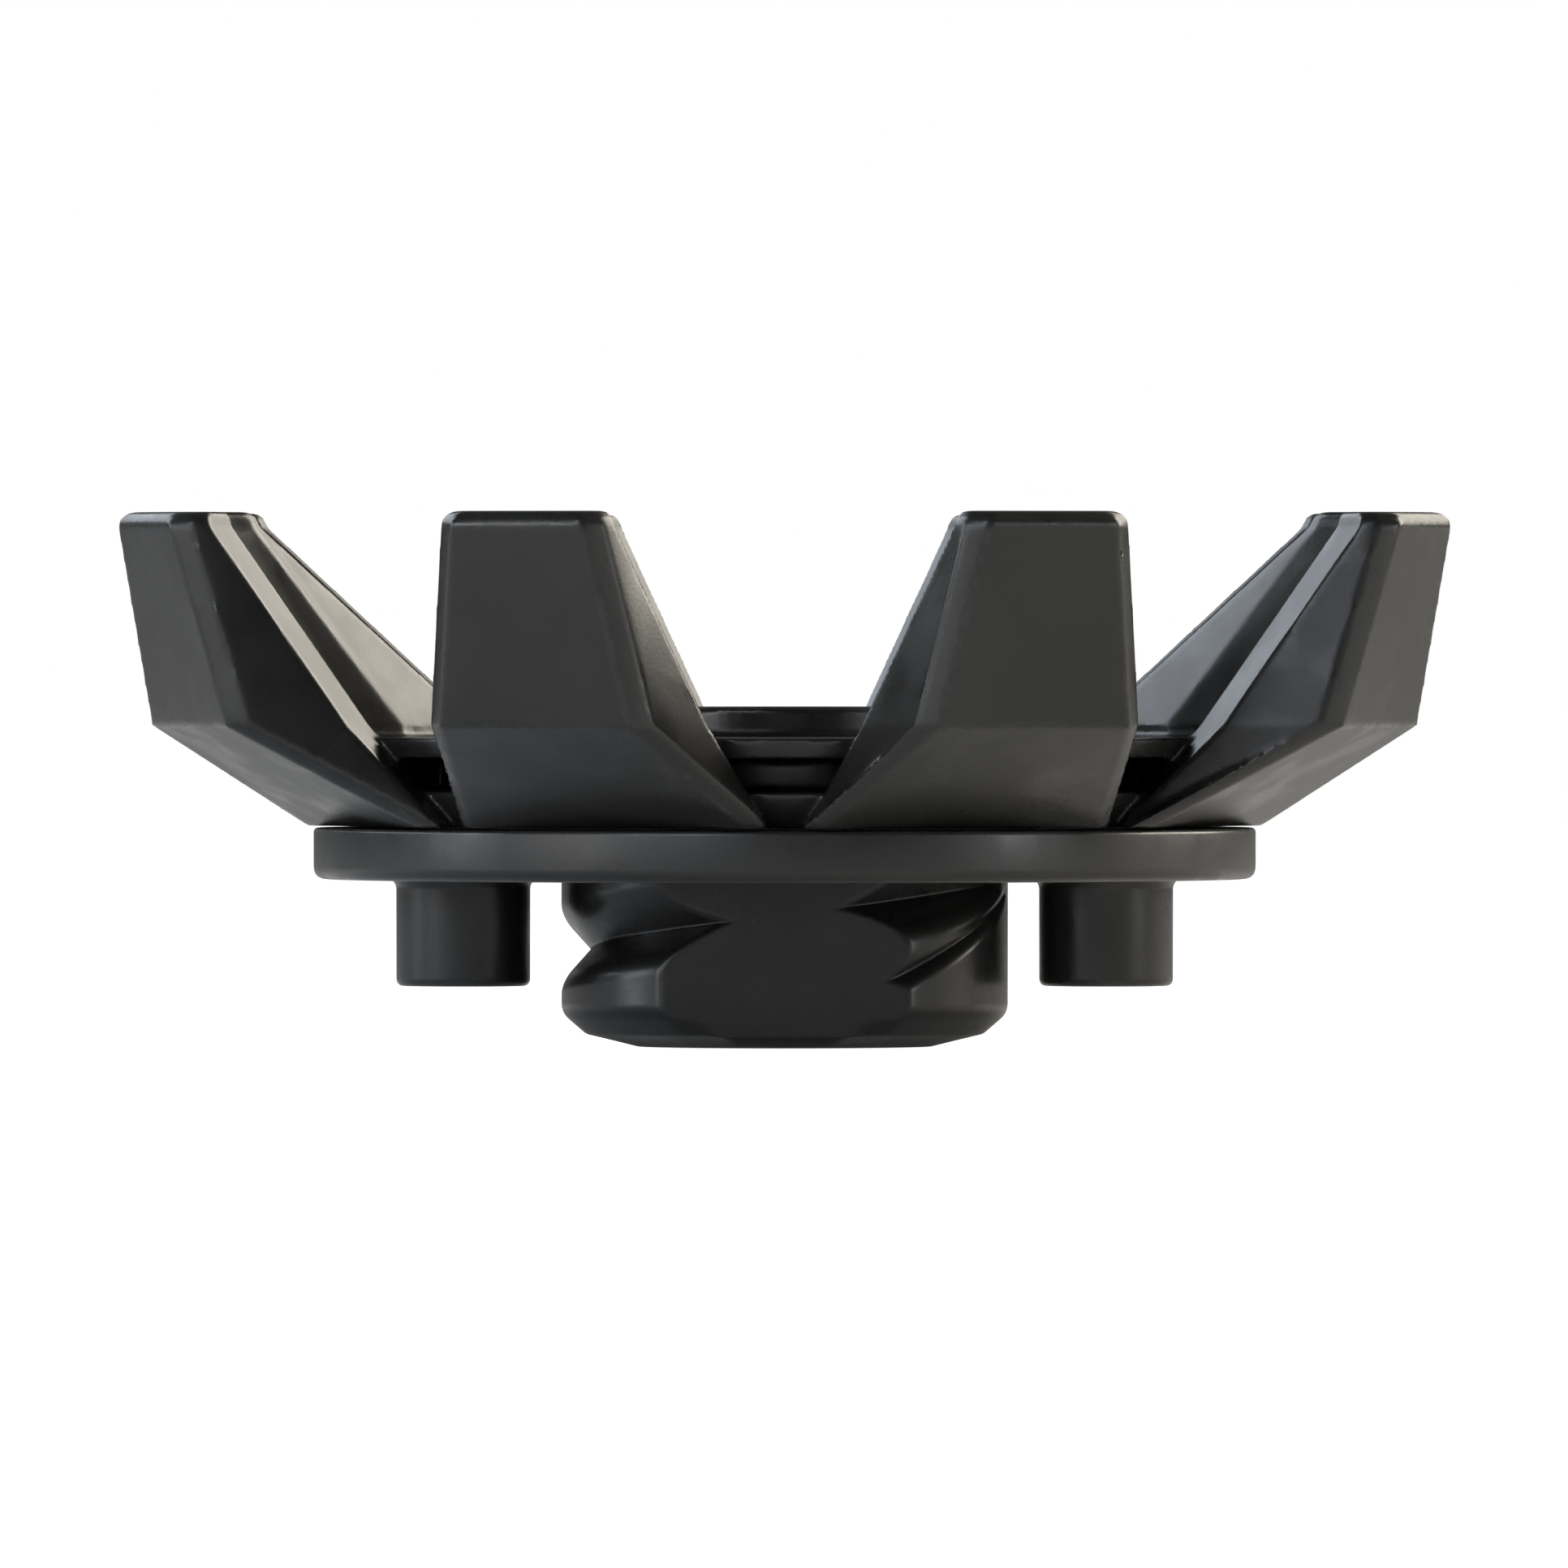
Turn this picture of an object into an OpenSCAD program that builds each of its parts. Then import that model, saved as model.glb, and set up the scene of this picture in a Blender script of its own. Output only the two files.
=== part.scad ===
// Wing nut with a crown of upright wings, a captive plate with two locating
// pegs, and a coarse threaded neck that carries a metal thread insert.
//
// Frame: the origin is on the axis, in the plate's underside, which is the face
// that seats on the fixture. +Z points up through the wings, and the two pegs
// stand on the X axis. Millimetres.

/* [Wings] */
// Number of wings round the crown
wing_count = 8; // [7:1:8]
// Height of the wing tips above the seating face
tip_z = 16.4; // [14:0.1:18]
// Distance from the axis to a wing's outer face at its tip
tip_r = 30.85; // [30:0.05:33]
// Half the width of a wing's outer face at its tip
tip_half_w = 3.9; // [3.4:0.1:4.4]
// Distance from the axis to a wing's outer face where it breaks to the base
waist_r = 28.65; // [27.5:0.05:29.5]
// Half the width of a wing's outer face at the break
waist_half_w = 5.35; // [4.8:0.05:5.8]
// Height of the break above the seating face
waist_z = 6.9; // [6.6:0.1:7.6]
// Distance from the axis to a wing's outer face at the crown's foot
base_r = 20.4; // [19.8:0.05:20.8]
// Half the width of a wing at the crown's foot
base_half_w = 7.4; // [7:0.05:7.6]
// Bevel along the upright edges of the outer face
edge_bevel = 0.8; // [0.3:0.1:1.2]
// Bevel round the tip's top face
tip_bevel = 0.6; // [0.2:0.1:0.9]

/* [Wing ribs] */
// Distance from the axis to the ridge of the inner rib at the tip
tip_nose_r = 25.4; // [24.6:0.1:25.8]
// Distance from the axis to the ridge of the inner rib at the break
waist_nose_r = 15; // [13:0.1:17]
// Distance from the axis to the back of the wing at the tip
tip_back_r = 27.5; // [27.2:0.1:27.8]
// Distance from the axis to the back of the wing at the break
waist_back_r = 21.7; // [21.2:0.1:22]
// How far the shoulder bevel runs in from the back of the wing
shoulder_bevel = 1.8; // [1.4:0.1:2]

/* [Hub] */
// Height of the crown's floor above the seating face
floor_z = 6.4; // [6.2:0.1:6.6]
// Radius of the floor at its rim
floor_r = 22.3; // [21.5:0.1:22.6]
// Radius of the crown's foot
foot_r = 19.6; // [18.5:0.1:19.7]
// Height of the central boss above the seating face
boss_z = 7.7; // [7.2:0.1:8.4]
// Radius of the central boss
boss_r = 8.5; // [7.6:0.1:10]
// Radius at the bottom of the groove round the hub, under the floor
hub_groove_r = 17; // [15:0.1:18]
// Radius of the clear way for the end of the stud
stud_way_r = 4.5; // [4.2:0.1:4.6]

/* [Peg plate] */
// Radius of the plate
plate_r = 21.1; // [20.8:0.1:24]
// Thickness of the plate
plate_t = 2.3; // [2:0.1:2.3]
// Distance between the centres of the two pegs
peg_spacing = 28.8; // [28:0.1:32]
// Radius of each peg
peg_r = 3; // [2:0.1:3.2]
// Length of each peg below the seating face
peg_len = 4.8; // [3:0.1:6]

/* [Threaded neck] */
// Length of the neck below the seating face
neck_len = 7.5; // [7.2:0.1:9]
// Radius of the thread's crest
crest_r = 10; // [9.6:0.05:10.1]
// Radius of the thread's root
root_r = 8.65; // [8.3:0.05:9]
// Distance from the axis to each of the two flats
flat_d = 8.3; // [7.8:0.1:9]
// Advance of the right-hand thread in one turn
thread_pitch = 6.6; // [6:0.1:7]
// Width of the thread's groove at the crest
groove_w = 3; // [2:0.1:3.4]
// Height of the groove's middle where it crosses the -X side
groove_z = -3.16; // [-3.6:0.02:-2.6]

/* [Thread insert] */
// Outer radius of the metal insert
insert_r = 5; // [4.8:0.1:5.4]
// Length of the metal insert
insert_len = 8.5; // [7:0.1:8.8]
// Radius of its internal thread at the crests (3.32 suits M8)
insert_bore_r = 3.32; // [2.5:0.01:3.6]

/* [Hidden] */
$fn = 96;
eps = 0.01;

// The neck turns in the plate on this journal
journal_r = 7.5;
running_gap = 0.05;
flange_r = 10.2;
flange_low_z = 0.1;
flange_top_z = 1;
flange_gap = 0.25;

// Plate edges, peg ends
plate_rim_bevel = 0.45;
plate_top_bevel = 0.15;
peg_bevel = 0.25;

// Gap between the crown's foot and the plate, and the washer that keeps it open
foot_gap = 0.1;
foot_z = plate_t + foot_gap;
washer_r = 17.5;
washer_t = 0.48;
washer_lift = 0.02;
washer_gap = 0.2;
washer_seat_z = plate_t + washer_lift + washer_t;

// Groove round the hub, seen between the wings
hub_groove_low_z = 4;
hub_groove_top_z = 5.5;

// Six-sided drive on top of the neck, pressed into the crown
drive_r = 6.93;
drive_cover = 0.3;
drive_top_z = floor_z - drive_cover;

// Insert: recessed from the neck's end, two knurled bands with a plain waist
insert_recess = 0.4;
insert_z = insert_recess - neck_len;
insert_waist_r = insert_r - 0.4;
insert_waist_len = 2;
insert_teeth = 24;
tooth_depth = 0.2;
insert_lead_in = 0.5;

// Nose of the neck: two straight chamfers
nose_r = 6.6;
nose_len = 1.5;
nose_tip_len = 0.55;
nose_step = 1.1;
nose_mid = [crest_r - nose_step, nose_tip_len - neck_len];
nose_start_z = nose_len - neck_len;

// Groove cut: flat bottom, straight flanks, run on past the crest, and fading
// out over the last stretch at each end
groove_flat = 0.2;
groove_over = 0.4;
groove_steps = 44;
groove_from = 15;
groove_to = 345;
groove_fade = 40;
least_share = 0.01;

// Slanting relief across the thread's start
relief_w = 1.5;
relief_floor_w = relief_w / 3;
relief_depth = 0.7;
relief_steps = 16;
relief_from = -104;
relief_to = -10;
relief_start_z = -7.6;
relief_rise = 0.0727;

// Shoulder of a wing, between its flank and its back: how far it stands out
// past the outer face's half width
tip_shoulder_out = 0.2;
waist_shoulder_out = 0.8;
tip_shoulder = [tip_back_r + shoulder_bevel, tip_half_w + tip_shoulder_out];
waist_shoulder = [waist_back_r + shoulder_bevel, waist_half_w + waist_shoulder_out];

// Rib on the back of a wing: half widths at its root, at the break in its side
// and at its ridge, and how far the break lies from the ridge
tip_rib_half_w = 1.2;
waist_rib_half_w = 2.8;
tip_break_run = 0.5;
tip_break_half_w = 0.8;
waist_break_run = 4.4;
waist_break_half_w = 2.5;
nose_half_w = 0.3;
tip_rib_break = [tip_nose_r + tip_break_run, tip_break_half_w];
waist_rib_break = [waist_nose_r + waist_break_run, waist_break_half_w];

// Foot of a wing: a thin block that ends inside the hub
foot_shoulder = [base_r - 1.5, base_half_w - 0.5];
foot_back_r = base_r - 1.8;
foot_rib_break = [base_r - 1.85, 1.5];
foot_nose_r = base_r - 1.9;

// Solid through a list of rings, each a list of points that runs the same way
// round as the right-hand rule about the direction of travel
module loft(rings) {
    n = len(rings[0]);
    last = (len(rings) - 1) * n;
    polyhedron(
        points = [for (ring = rings) each ring],
        faces = concat(
            [[for (j = [0:n - 1]) j]],
            [[for (j = [n - 1:-1:0]) last + j]],
            [for (i = [0:n:last - n]) for (j = [0:n - 1]) each [
                [i + j, i + n + j, i + n + (j + 1) % n],
                [i + j, i + n + (j + 1) % n, i + (j + 1) % n]
            ]]
        )
    );
}

// Outline of a wing at one height, seen from above, with its outer face at +X:
// outer face and its bevels, flanks, shoulder bevels, back, and the inner rib
function wing_outline(face_r, half_w, bevel, shoulder, back_r, rib_half_w, rib_break, nose_r) =
    let (
        back_half_w = shoulder[1] - (shoulder[0] - back_r),
        side = [
            [face_r, half_w - bevel],
            [face_r - bevel, half_w],
            shoulder,
            [back_r, back_half_w],
            [back_r, rib_half_w],
            rib_break,
            [nose_r, nose_half_w]
        ]
    )
    concat(side, [for (i = [len(side) - 1:-1:0]) [side[i][0], -side[i][1]]]);

function ring_at(outline, z) = [for (p = outline) [p[0], p[1], z]];

// The tip outline drawn in by the bevel, for the top face
function drawn_in(outline, inset) =
    let (
        middle = (tip_r + tip_nose_r) / 2,
        along = 1 - inset / (tip_r - middle),
        across = 1 - inset / tip_half_w
    )
    [for (p = outline) [middle + (p[0] - middle) * along, p[1] * across]];

module wing() {
    foot = wing_outline(
        base_r, base_half_w, edge_bevel / 2,
        foot_shoulder, foot_back_r,
        waist_rib_half_w, foot_rib_break, foot_nose_r
    );
    waist = wing_outline(
        waist_r, waist_half_w, edge_bevel,
        waist_shoulder, waist_back_r,
        waist_rib_half_w, waist_rib_break, waist_nose_r
    );
    tip = wing_outline(
        tip_r, tip_half_w, edge_bevel,
        tip_shoulder, tip_back_r,
        tip_rib_half_w, tip_rib_break, tip_nose_r
    );
    loft([
        ring_at(foot, foot_z),
        ring_at(waist, waist_z),
        ring_at(tip, tip_z - tip_bevel),
        ring_at(drawn_in(tip, tip_bevel), tip_z)
    ]);
}

module wing_crown() {
    wing_angle = 360 / wing_count;
    color("#2c2b29") difference() {
        union() {
            for (i = [0:wing_count - 1]) rotate((i + 0.5) * wing_angle) wing();
            hub();
            translate([0, 0, foot_z]) cylinder(h = boss_z - foot_z, r = boss_r);
        }
        translate([0, 0, foot_z - 1]) cylinder(h = boss_z, r = stud_way_r);
        translate([0, 0, foot_z - 1]) cylinder(h = drive_top_z - foot_z + 1, r = drive_r, $fn = 6);
        translate([0, 0, foot_z - 1])
            cylinder(h = washer_seat_z - foot_z + 1, r = washer_r + washer_gap);
    }
}

// Hub that flares up to the floor's rim, with a groove round it
module hub() {
    rotate_extrude() polygon([
        [0, foot_z],
        [foot_r, foot_z],
        [hub_r(hub_groove_low_z), hub_groove_low_z],
        [hub_groove_r, hub_groove_low_z],
        [hub_groove_r, hub_groove_top_z],
        [hub_r(hub_groove_top_z), hub_groove_top_z],
        [floor_r, floor_z],
        [0, floor_z]
    ]);
}

function hub_r(z) = foot_r + (floor_r - foot_r) * (z - foot_z) / (floor_z - foot_z);

module peg_plate() {
    color("#262625") difference() {
        union() {
            rotate_extrude() polygon([
                [0, 0],
                [plate_r - plate_rim_bevel, 0],
                [plate_r, plate_rim_bevel],
                [plate_r, plate_t - plate_top_bevel],
                [plate_r - plate_top_bevel, plate_t],
                [0, plate_t]
            ]);
            for (side = [-1, 1]) translate([side * peg_spacing / 2, 0, 0]) peg();
        }
        translate([0, 0, -1]) cylinder(h = plate_t + 2, r = journal_r + running_gap);
        translate([0, 0, -1]) cylinder(h = flange_top_z + running_gap + 1, r = flange_r + flange_gap);
    }
}

module peg() {
    translate([0, 0, peg_bevel - peg_len]) cylinder(h = peg_len - peg_bevel + 1, r = peg_r);
    translate([0, 0, -peg_len]) cylinder(h = peg_bevel, r1 = peg_r - peg_bevel, r2 = peg_r);
}

module thrust_washer() {
    color("#d8d6cc") translate([0, 0, plate_t + washer_lift]) difference() {
        cylinder(h = washer_t, r = washer_r);
        translate([0, 0, -1]) cylinder(h = washer_t + 2, r = journal_r + running_gap);
    }
}

// Height of the thread groove's middle at an angle from +X
function groove_height(angle) = groove_z + thread_pitch * (angle - 180) / 360;

// Cross-section of a cut that opens outwards, placed at one angle
function cut_ring(angle, z, bottom_r, bottom_w, open_r, open_w) = [
    for (p = [
        [bottom_r, -bottom_w / 2],
        [bottom_r, bottom_w / 2],
        [open_r, open_w / 2],
        [open_r, -open_w / 2]
    ])
        [p[0] * cos(angle), p[0] * sin(angle), z + p[1]]
];

module thread_groove() {
    flank = (groove_w - groove_flat) / (crest_r - root_r);
    step = (groove_to - groove_from) / groove_steps;
    loft([
        for (a = [groove_from:step:groove_to + step / 2])
            let (
                share = min(1, (a - groove_from) / groove_fade, (groove_to - a) / groove_fade),
                depth = (crest_r - root_r) * sqrt(max(share, least_share))
            )
            cut_ring(
                a, groove_height(a), crest_r - depth, groove_flat,
                crest_r + groove_over, groove_flat + flank * (depth + groove_over)
            )
    ]);
}

module start_relief() {
    span = relief_to - relief_from;
    step = span / relief_steps;
    loft([
        for (a = [relief_from:step:relief_to + step / 2])
            let (fade = max((relief_to - a) / span, least_share))
            cut_ring(
                a, relief_start_z + relief_rise * (a - relief_from),
                crest_r - relief_depth * sqrt(fade), relief_floor_w, crest_r + groove_over, relief_w
            )
    ]);
}

module threaded_neck() {
    color("#201f1e") difference() {
        union() {
            difference() {
                rotate_extrude() polygon([
                    [0, -neck_len],
                    [nose_r, -neck_len],
                    nose_mid,
                    [crest_r, nose_start_z],
                    [crest_r, flange_low_z],
                    [0, flange_low_z]
                ]);
                thread_groove();
                start_relief();
                for (side = [-1, 1])
                    translate([-crest_r, side * (flat_d + crest_r) - crest_r, -neck_len - 1])
                        cube([2 * crest_r, 2 * crest_r, neck_len + 2]);
            }
            translate([0, 0, flange_low_z]) cylinder(h = flange_top_z - flange_low_z, r = flange_r);
            cylinder(h = washer_seat_z, r = journal_r);
            cylinder(h = drive_top_z, r = drive_r, $fn = 6);
        }
        translate([0, 0, -neck_len - 1]) cylinder(h = neck_len + drive_top_z + 2, r = stud_way_r);
        translate([0, 0, -neck_len - 1]) cylinder(h = insert_recess + insert_len + 1, r = insert_r);
    }
}

module thread_insert() {
    band_len = (insert_len - insert_waist_len) / 2;
    color("#b8924a") translate([0, 0, insert_z]) difference() {
        union() {
            cylinder(h = insert_len, r = insert_waist_r);
            for (z = [0, insert_len - band_len]) translate([0, 0, z]) knurled_band(band_len);
        }
        translate([0, 0, -1]) cylinder(h = insert_len + 2, r = insert_bore_r);
        translate([0, 0, -eps])
            cylinder(h = insert_lead_in, r1 = insert_bore_r + insert_lead_in, r2 = insert_bore_r);
    }
}

// Band with straight teeth that bite into the neck
module knurled_band(length) {
    linear_extrude(length) polygon([
        for (i = [0:2 * insert_teeth - 1])
            let (r = insert_r - (i % 2) * tooth_depth, a = 180 * i / insert_teeth)
            [r * cos(a), r * sin(a)]
    ]);
}

peg_plate();
thrust_washer();
threaded_neck();
thread_insert();
wing_crown();
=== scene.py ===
"""Finished looks for a wing nut with a crown of upright wings.

Each moving or fixed piece of the frame gets a detailed mesh in the same place,
with rounded moulded edges and its own procedural finish. Lengths in the file are
metres unless a name says otherwise.
"""

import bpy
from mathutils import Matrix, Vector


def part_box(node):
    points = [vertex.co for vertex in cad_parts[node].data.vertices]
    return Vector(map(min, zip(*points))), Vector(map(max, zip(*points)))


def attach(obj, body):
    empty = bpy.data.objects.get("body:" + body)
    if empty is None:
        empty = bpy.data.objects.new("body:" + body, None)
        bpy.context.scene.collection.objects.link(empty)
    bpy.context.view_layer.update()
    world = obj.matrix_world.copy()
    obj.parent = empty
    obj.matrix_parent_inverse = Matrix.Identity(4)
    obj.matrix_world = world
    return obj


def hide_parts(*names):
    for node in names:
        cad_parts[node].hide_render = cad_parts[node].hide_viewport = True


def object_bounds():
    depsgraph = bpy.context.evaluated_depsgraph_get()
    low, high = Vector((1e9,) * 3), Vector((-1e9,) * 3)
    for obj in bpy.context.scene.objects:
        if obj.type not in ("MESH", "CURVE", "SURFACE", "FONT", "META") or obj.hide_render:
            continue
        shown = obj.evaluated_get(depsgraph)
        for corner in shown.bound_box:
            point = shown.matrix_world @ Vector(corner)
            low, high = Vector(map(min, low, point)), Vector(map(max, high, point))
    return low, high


bl_info = {
    "name": "Crown Wing Nut",
    "version": (1, 0, 0),
    "blender": (4, 5, 0),
    "location": "View3D > Sidebar > Wing Nut",
    "description": "Builds the visual pieces, finishes and studio of a crown wing nut",
    "category": "Object",
}

import math

import bmesh
import bpy
from bpy.props import FloatProperty, FloatVectorProperty, IntProperty, PointerProperty
from mathutils import Vector

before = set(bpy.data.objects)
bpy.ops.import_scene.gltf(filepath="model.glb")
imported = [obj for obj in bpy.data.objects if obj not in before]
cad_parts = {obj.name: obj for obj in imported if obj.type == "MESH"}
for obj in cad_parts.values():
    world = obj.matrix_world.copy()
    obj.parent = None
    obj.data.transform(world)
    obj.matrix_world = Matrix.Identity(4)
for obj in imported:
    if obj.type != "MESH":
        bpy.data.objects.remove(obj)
CAD_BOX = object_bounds()

MM = 0.001
CROWN_BODY = "crown"
PLATE_BODY = "plate"

CROWN_LOW, CROWN_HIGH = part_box("wing_crown")
PLATE_LOW, PLATE_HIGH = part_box("peg_plate")
NECK_LOW, NECK_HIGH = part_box("threaded_neck")
INSERT_LOW, INSERT_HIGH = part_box("thread_insert")
WASHER_LOW, WASHER_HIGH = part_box("thrust_washer")

FOOT_Z = CROWN_LOW[2]
TIP_Z = CROWN_HIGH[2]
PLATE_R = PLATE_HIGH[0]
PLATE_TOP = PLATE_HIGH[2]
PEG_END = PLATE_LOW[2]
NECK_END = NECK_LOW[2]
DRIVE_TOP = NECK_HIGH[2]
WASHER_R = WASHER_HIGH[0]
WASHER_TOP = WASHER_HIGH[2]

# Sizes that pieces share
STUD_WAY_R = 4.5 * MM
DRIVE_R = 6.93 * MM
JOURNAL_R = 7.5 * MM
JOURNAL_BORE_R = 7.55 * MM


# ---------------------------------------------------------------- settings


class CrownSettings(bpy.types.PropertyGroup):
    """Sizes of the crown of wings."""

    wings: IntProperty(
        name="Wings",
        description="Number of wings round the crown",
        default=8,
        min=7,
        max=8,
    )
    tip_r: FloatProperty(
        name="Tip Radius",
        description="Axis to a wing's outer face at its tip",
        default=30.85 * MM,
        unit="LENGTH",
    )
    tip_half_w: FloatProperty(
        name="Tip Half Width",
        description="Half a wing's width at its tip",
        default=3.9 * MM,
        unit="LENGTH",
    )
    waist_r: FloatProperty(
        name="Waist Radius",
        description="Axis to a wing's outer face at its break",
        default=28.65 * MM,
        unit="LENGTH",
    )
    waist_half_w: FloatProperty(
        name="Waist Half Width",
        description="Half a wing's width at its break",
        default=5.35 * MM,
        unit="LENGTH",
    )
    waist_z: FloatProperty(
        name="Waist Height",
        description="Height of the break in a wing's outer face",
        default=6.9 * MM,
        unit="LENGTH",
    )
    base_r: FloatProperty(
        name="Base Radius",
        description="Axis to a wing's outer face at its foot",
        default=20.4 * MM,
        unit="LENGTH",
    )
    base_half_w: FloatProperty(
        name="Base Half Width",
        description="Half a wing's width at its foot",
        default=7.4 * MM,
        unit="LENGTH",
    )
    tip_back_r: FloatProperty(
        name="Tip Back Radius",
        description="Axis to the back of a wing at its tip",
        default=27.5 * MM,
        unit="LENGTH",
    )
    waist_back_r: FloatProperty(
        name="Waist Back Radius",
        description="Axis to the back of a wing at its break",
        default=21.7 * MM,
        unit="LENGTH",
    )
    tip_nose_r: FloatProperty(
        name="Tip Rib Radius",
        description="Axis to the ridge of the inner rib at the tip",
        default=25.4 * MM,
        unit="LENGTH",
    )
    waist_nose_r: FloatProperty(
        name="Waist Rib Radius",
        description="Axis to the ridge of the inner rib at the break",
        default=15.0 * MM,
        unit="LENGTH",
    )
    floor_z: FloatProperty(
        name="Floor Height",
        description="Height of the crown's floor",
        default=6.4 * MM,
        unit="LENGTH",
    )
    floor_r: FloatProperty(
        name="Floor Radius",
        description="Radius of the floor's rim",
        default=22.3 * MM,
        unit="LENGTH",
    )
    foot_r: FloatProperty(
        name="Foot Radius",
        description="Radius of the crown's foot",
        default=19.6 * MM,
        unit="LENGTH",
    )
    boss_z: FloatProperty(
        name="Boss Height",
        description="Height of the central boss",
        default=7.7 * MM,
        unit="LENGTH",
    )
    boss_r: FloatProperty(
        name="Boss Radius",
        description="Radius of the central boss",
        default=8.5 * MM,
        unit="LENGTH",
    )
    tip_round: FloatProperty(
        name="Tip Rounding",
        description="Rounding round the tip's top face",
        default=0.6 * MM,
        unit="LENGTH",
    )
    edge_bevel: FloatProperty(
        name="Edge Bevel",
        description="Bevel on the upright edges of the outer face",
        default=0.8 * MM,
        unit="LENGTH",
    )
    voxel: FloatProperty(
        name="Softening Grid",
        description="Grid size used to blend and round the moulding",
        default=0.15 * MM,
        unit="LENGTH",
    )


class PlateSettings(bpy.types.PropertyGroup):
    """Sizes of the peg plate."""

    peg_spacing: FloatProperty(
        name="Peg Spacing",
        description="Distance between the pegs' centres",
        default=28.8 * MM,
        unit="LENGTH",
    )
    peg_r: FloatProperty(
        name="Peg Radius",
        description="Radius of each peg",
        default=3.0 * MM,
        unit="LENGTH",
    )
    rim_round: FloatProperty(
        name="Rim Rounding",
        description="Rounding under the plate's rim",
        default=0.45 * MM,
        unit="LENGTH",
    )
    bore_r: FloatProperty(
        name="Bore Radius",
        description="Radius of the plate's bore",
        default=JOURNAL_BORE_R,
        unit="LENGTH",
    )
    recess_r: FloatProperty(
        name="Recess Radius",
        description="Radius of the recess for the neck's flange",
        default=10.45 * MM,
        unit="LENGTH",
    )
    recess_z: FloatProperty(
        name="Recess Depth",
        description="Depth of the recess for the neck's flange",
        default=1.05 * MM,
        unit="LENGTH",
    )


class NeckSettings(bpy.types.PropertyGroup):
    """Sizes of the threaded neck and its insert."""

    crest_r: FloatProperty(
        name="Crest Radius",
        description="Radius of the thread's crest",
        default=10.0 * MM,
        unit="LENGTH",
    )
    root_r: FloatProperty(
        name="Root Radius",
        description="Radius of the thread's root",
        default=8.65 * MM,
        unit="LENGTH",
    )
    flat_d: FloatProperty(
        name="Flat Distance",
        description="Distance from the axis to each flat",
        default=8.3 * MM,
        unit="LENGTH",
    )
    pitch: FloatProperty(
        name="Pitch",
        description="Advance of the thread in one turn",
        default=6.6 * MM,
        unit="LENGTH",
    )
    groove_w: FloatProperty(
        name="Groove Width",
        description="Width of the groove at the crest",
        default=3.0 * MM,
        unit="LENGTH",
    )
    groove_z: FloatProperty(
        name="Groove Height",
        description="Height of the groove's middle on the -X side",
        default=-3.16 * MM,
        unit="LENGTH",
    )
    nose_r: FloatProperty(
        name="Nose Radius",
        description="Radius of the neck's flat end",
        default=6.6 * MM,
        unit="LENGTH",
    )
    insert_r: FloatProperty(
        name="Insert Radius",
        description="Outer radius of the insert",
        default=5.0 * MM,
        unit="LENGTH",
    )
    insert_minor_r: FloatProperty(
        name="Insert Minor Radius",
        description="Radius at the crests of the insert's thread",
        default=3.32 * MM,
        unit="LENGTH",
    )
    insert_pitch: FloatProperty(
        name="Insert Pitch",
        description="Advance of the insert's thread in one turn",
        default=1.25 * MM,
        unit="LENGTH",
    )


class FinishSettings(bpy.types.PropertyGroup):
    """Colours of the finishes."""

    crown: FloatVectorProperty(
        name="Crown",
        description="Colour of the crown's plastic",
        default=(0.0092, 0.0090, 0.0086),
        subtype="COLOR",
    )
    plate: FloatVectorProperty(
        name="Plate",
        description="Colour of the plate's plastic",
        default=(0.0092, 0.0091, 0.0090),
        subtype="COLOR",
    )
    neck: FloatVectorProperty(
        name="Neck",
        description="Colour of the neck's plastic",
        default=(0.0068, 0.0068, 0.0067),
        subtype="COLOR",
    )
    washer: FloatVectorProperty(
        name="Washer",
        description="Colour of the washer's plastic",
        default=(0.66, 0.64, 0.58),
        subtype="COLOR",
    )
    brass: FloatVectorProperty(
        name="Brass",
        description="Colour of the insert's brass",
        default=(0.86, 0.64, 0.32),
        subtype="COLOR",
    )


class WingNutSettings(bpy.types.PropertyGroup):
    """All the settings of the wing nut."""

    crown: PointerProperty(type=CrownSettings, name="Crown", description="Sizes of the crown")
    plate: PointerProperty(type=PlateSettings, name="Plate", description="Sizes of the plate")
    neck: PointerProperty(type=NeckSettings, name="Neck", description="Sizes of the neck and insert")
    finish: PointerProperty(type=FinishSettings, name="Finish", description="Colours of the finishes")


# ---------------------------------------------------------------- mesh tools


def loft(bm, rings, closed=False):
    """Skin a list of rings; closed joins the last ring to the first, open ends are capped."""
    rows = [[bm.verts.new(point) for point in ring] for ring in rings]
    count = len(rows[0])
    pairs = list(zip(rows, rows[1:] + rows[:1])) if closed else list(zip(rows, rows[1:]))
    for low, high in pairs:
        for i in range(count):
            j = (i + 1) % count
            bm.faces.new((low[i], low[j], high[j], high[i]))
    if not closed:
        bm.faces.new(list(reversed(rows[0])))
        bm.faces.new(rows[-1])


def turned(bm, profile, steps):
    """Revolve a closed profile of (radius, height) points about the nut's axis."""
    rings = []
    for k in range(steps):
        angle = 2 * math.pi * k / steps
        c, s = math.cos(angle), math.sin(angle)
        rings.append([(r * c, r * s, z) for r, z in profile])
    loft(bm, rings, closed=True)


def add_turned_solid(bm, profile, steps, at):
    """Revolve an open profile that starts and ends on its own axis."""
    rings = []
    for r, z in profile[1:-1]:
        ring = []
        for k in range(steps):
            angle = 2 * math.pi * k / steps
            ring.append((at[0] + r * math.cos(angle), at[1] + r * math.sin(angle), z))
        rings.append(ring)
    loft(bm, rings)


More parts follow.
